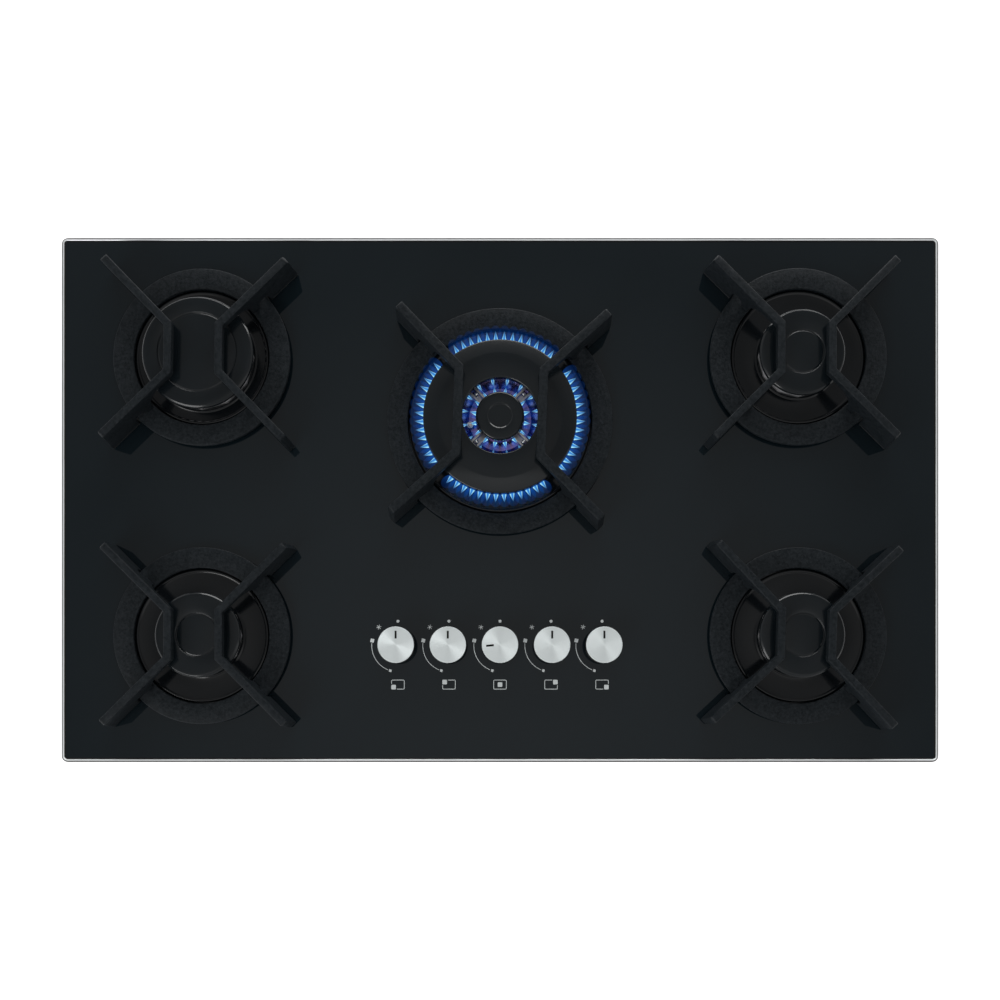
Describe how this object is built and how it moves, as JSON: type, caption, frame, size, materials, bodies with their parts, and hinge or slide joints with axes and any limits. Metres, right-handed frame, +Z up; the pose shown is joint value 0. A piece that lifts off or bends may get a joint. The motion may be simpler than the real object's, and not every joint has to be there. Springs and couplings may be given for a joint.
{
  "type": "gas cooktop",
  "caption": "Built-in gas cooktop: black glass top with a thin metal rim, lift-off cast pan supports, burner heads and caps, and push-and-turn knobs over a steel tray.",
  "frame": {"origin": "under the middle of the panel, at the bottom of the steel tray", "axes": "+X to the user's right along the panel's length, +Y to the rear, +Z up"},
  "size_m": [0.87, 0.52, 0.104],
  "materials": {
    "black_glass": "gloss, black-coated underside",
    "trim_metal": "satin",
    "foam": "matt",
    "tray_steel": "galvanised",
    "zinc_steel": "zinc plated",
    "tube_steel": "plated",
    "stem_steel": "turned",
    "cast_aluminium": "as cast",
    "drawn_aluminium": "drawn",
    "brass": "turned",
    "ceramic": "glazed",
    "black_plastic": "moulded",
    "pale_plastic": "moulded",
    "lead_silicone": "satin",
    "black_enamel": "gloss enamel",
    "cap_enamel": "semi-gloss enamel",
    "cast_iron": "matt enamel",
    "pad_rubber": "matt",
    "knob_metal": "spun face, dark satin side"
  },
  "bodies": {
    "base": {"glass_panel": "black_glass", "edge_trim": "trim_metal", "worktop_seal": "foam", "bottom_tray": "tray_steel", "glass_brackets": "zinc_steel", "worktop_clamps": "zinc_steel", "burner_saucers": "black_enamel", "burner_cups": "cast_aluminium", "gas_injectors": "brass", "spark_electrodes": "ceramic", "gas_manifold": "tube_steel", "gas_inlet": "brass", "manifold_brackets": "zinc_steel", "valve_bodies": "cast_aluminium", "supply_pipes": "drawn_aluminium", "ignition_module": "black_plastic", "ignition_leads": "lead_silicone", "microswitch_strip": "pale_plastic", "cable_gland": "black_plastic"},
    "trivet_rear_left": {"trivet_rear_left": "cast_iron", "trivet_pads_rear_left": "pad_rubber"},
    "burner_head_rear_left": {"burner_head_rear_left": "cast_aluminium"},
    "burner_cap_rear_left": {"burner_cap_rear_left": "cap_enamel"},
    "trivet_rear_right": {"trivet_rear_right": "cast_iron", "trivet_pads_rear_right": "pad_rubber"},
    "burner_head_rear_right": {"burner_head_rear_right": "cast_aluminium"},
    "burner_cap_rear_right": {"burner_cap_rear_right": "cap_enamel"},
    "trivet_front_left": {"trivet_front_left": "cast_iron", "trivet_pads_front_left": "pad_rubber"},
    "burner_head_front_left": {"burner_head_front_left": "cast_aluminium"},
    "burner_cap_front_left": {"burner_cap_front_left": "cap_enamel"},
    "trivet_front_right": {"trivet_front_right": "cast_iron", "trivet_pads_front_right": "pad_rubber"},
    "burner_head_front_right": {"burner_head_front_right": "cast_aluminium"},
    "burner_cap_front_right": {"burner_cap_front_right": "cap_enamel"},
    "trivet_centre": {"trivet_centre": "cast_iron", "trivet_pads_centre": "pad_rubber"},
    "burner_head_centre": {"burner_head_centre": "cast_aluminium"},
    "crown_ring_cap": {"crown_ring_cap": "cap_enamel"},
    "crown_core_cap": {"crown_core_cap": "cap_enamel"},
    "valve_plug_front_left": {"valve_plug_front_left": "brass"},
    "knob_front_left": {"knob_front_left": "knob_metal", "valve_stem_front_left": "stem_steel"},
    "valve_plug_rear_left": {"valve_plug_rear_left": "brass"},
    "knob_rear_left": {"knob_rear_left": "knob_metal", "valve_stem_rear_left": "stem_steel"},
    "valve_plug_centre": {"valve_plug_centre": "brass"},
    "knob_centre": {"knob_centre": "knob_metal", "valve_stem_centre": "stem_steel"},
    "valve_plug_rear_right": {"valve_plug_rear_right": "brass"},
    "knob_rear_right": {"knob_rear_right": "knob_metal", "valve_stem_rear_right": "stem_steel"},
    "valve_plug_front_right": {"valve_plug_front_right": "brass"},
    "knob_front_right": {"knob_front_right": "knob_metal", "valve_stem_front_right": "stem_steel"}
  },
  "joints": [
    {"name": "trivet_rear_left_lift", "type": "slide", "parent": "base", "child": "trivet_rear_left", "axis": [0, 0, 1], "range_m": [0, 0.1]},
    {"name": "burner_head_rear_left_lift", "type": "slide", "parent": "base", "child": "burner_head_rear_left", "axis": [0, 0, 1], "range_m": [0, 0.03]},
    {"name": "burner_cap_rear_left_lift", "type": "slide", "parent": "burner_head_rear_left", "child": "burner_cap_rear_left", "axis": [0, 0, 1], "range_m": [0, 0.03]},
    {"name": "trivet_rear_right_lift", "type": "slide", "parent": "base", "child": "trivet_rear_right", "axis": [0, 0, 1], "range_m": [0, 0.1]},
    {"name": "burner_head_rear_right_lift", "type": "slide", "parent": "base", "child": "burner_head_rear_right", "axis": [0, 0, 1], "range_m": [0, 0.03]},
    {"name": "burner_cap_rear_right_lift", "type": "slide", "parent": "burner_head_rear_right", "child": "burner_cap_rear_right", "axis": [0, 0, 1], "range_m": [0, 0.03]},
    {"name": "trivet_front_left_lift", "type": "slide", "parent": "base", "child": "trivet_front_left", "axis": [0, 0, 1], "range_m": [0, 0.1]},
    {"name": "burner_head_front_left_lift", "type": "slide", "parent": "base", "child": "burner_head_front_left", "axis": [0, 0, 1], "range_m": [0, 0.03]},
    {"name": "burner_cap_front_left_lift", "type": "slide", "parent": "burner_head_front_left", "child": "burner_cap_front_left", "axis": [0, 0, 1], "range_m": [0, 0.03]},
    {"name": "trivet_front_right_lift", "type": "slide", "parent": "base", "child": "trivet_front_right", "axis": [0, 0, 1], "range_m": [0, 0.1]},
    {"name": "burner_head_front_right_lift", "type": "slide", "parent": "base", "child": "burner_head_front_right", "axis": [0, 0, 1], "range_m": [0, 0.03]},
    {"name": "burner_cap_front_right_lift", "type": "slide", "parent": "burner_head_front_right", "child": "burner_cap_front_right", "axis": [0, 0, 1], "range_m": [0, 0.03]},
    {"name": "trivet_centre_lift", "type": "slide", "parent": "base", "child": "trivet_centre", "axis": [0, 0, 1], "range_m": [0, 0.1]},
    {"name": "burner_head_centre_lift", "type": "slide", "parent": "base", "child": "burner_head_centre", "axis": [0, 0, 1], "range_m": [0, 0.03]},
    {"name": "crown_ring_cap_lift", "type": "slide", "parent": "burner_head_centre", "child": "crown_ring_cap", "axis": [0, 0, 1], "range_m": [0, 0.03]},
    {"name": "crown_core_cap_lift", "type": "slide", "parent": "burner_head_centre", "child": "crown_core_cap", "axis": [0, 0, 1], "range_m": [0, 0.03]},
    {"name": "tap_front_left_turn", "type": "hinge", "parent": "base", "child": "valve_plug_front_left", "pos_m": [-0.1013, -0.1445, 0.04], "axis": [0, 0, 1], "range_deg": [0, 165]},
    {"name": "knob_front_left_push", "type": "slide", "parent": "valve_plug_front_left", "child": "knob_front_left", "axis": [0, 0, -1], "range_m": [0, 0.003], "stiffness_N_per_m": 600, "springref_m": -0.006},
    {"name": "tap_rear_left_turn", "type": "hinge", "parent": "base", "child": "valve_plug_rear_left", "pos_m": [-0.05065, -0.1445, 0.04], "axis": [0, 0, 1], "range_deg": [0, 165]},
    {"name": "knob_rear_left_push", "type": "slide", "parent": "valve_plug_rear_left", "child": "knob_rear_left", "axis": [0, 0, -1], "range_m": [0, 0.003], "stiffness_N_per_m": 600, "springref_m": -0.006},
    {"name": "tap_centre_turn", "type": "hinge", "parent": "base", "child": "valve_plug_centre", "pos_m": [0, -0.1445, 0.04], "axis": [0, 0, 1], "range_deg": [-95, 70]},
    {"name": "knob_centre_push", "type": "slide", "parent": "valve_plug_centre", "child": "knob_centre", "axis": [0, 0, -1], "range_m": [0, 0.003], "stiffness_N_per_m": 600, "springref_m": -0.006},
    {"name": "tap_rear_right_turn", "type": "hinge", "parent": "base", "child": "valve_plug_rear_right", "pos_m": [0.05065, -0.1445, 0.04], "axis": [0, 0, 1], "range_deg": [0, 165]},
    {"name": "knob_rear_right_push", "type": "slide", "parent": "valve_plug_rear_right", "child": "knob_rear_right", "axis": [0, 0, -1], "range_m": [0, 0.003], "stiffness_N_per_m": 600, "springref_m": -0.006},
    {"name": "tap_front_right_turn", "type": "hinge", "parent": "base", "child": "valve_plug_front_right", "pos_m": [0.1013, -0.1445, 0.04], "axis": [0, 0, 1], "range_deg": [0, 165]},
    {"name": "knob_front_right_push", "type": "slide", "parent": "valve_plug_front_right", "child": "knob_front_right", "axis": [0, 0, -1], "range_m": [0, 0.003], "stiffness_N_per_m": 600, "springref_m": -0.006}
  ],
  "couplings": [
    {"joint": "burner_head_rear_left_lift", "follows": "trivet_rear_left_lift", "ratio": 0.3},
    {"joint": "burner_cap_rear_left_lift", "follows": "trivet_rear_left_lift", "ratio": 0.3},
    {"joint": "burner_head_rear_right_lift", "follows": "trivet_rear_right_lift", "ratio": 0.3},
    {"joint": "burner_cap_rear_right_lift", "follows": "trivet_rear_right_lift", "ratio": 0.3},
    {"joint": "burner_head_front_left_lift", "follows": "trivet_front_left_lift", "ratio": 0.3},
    {"joint": "burner_cap_front_left_lift", "follows": "trivet_front_left_lift", "ratio": 0.3},
    {"joint": "burner_head_front_right_lift", "follows": "trivet_front_right_lift", "ratio": 0.3},
    {"joint": "burner_cap_front_right_lift", "follows": "trivet_front_right_lift", "ratio": 0.3},
    {"joint": "burner_head_centre_lift", "follows": "trivet_centre_lift", "ratio": 0.3},
    {"joint": "crown_ring_cap_lift", "follows": "trivet_centre_lift", "ratio": 0.3},
    {"joint": "crown_core_cap_lift", "follows": "trivet_centre_lift", "ratio": 0.3}
  ]
}
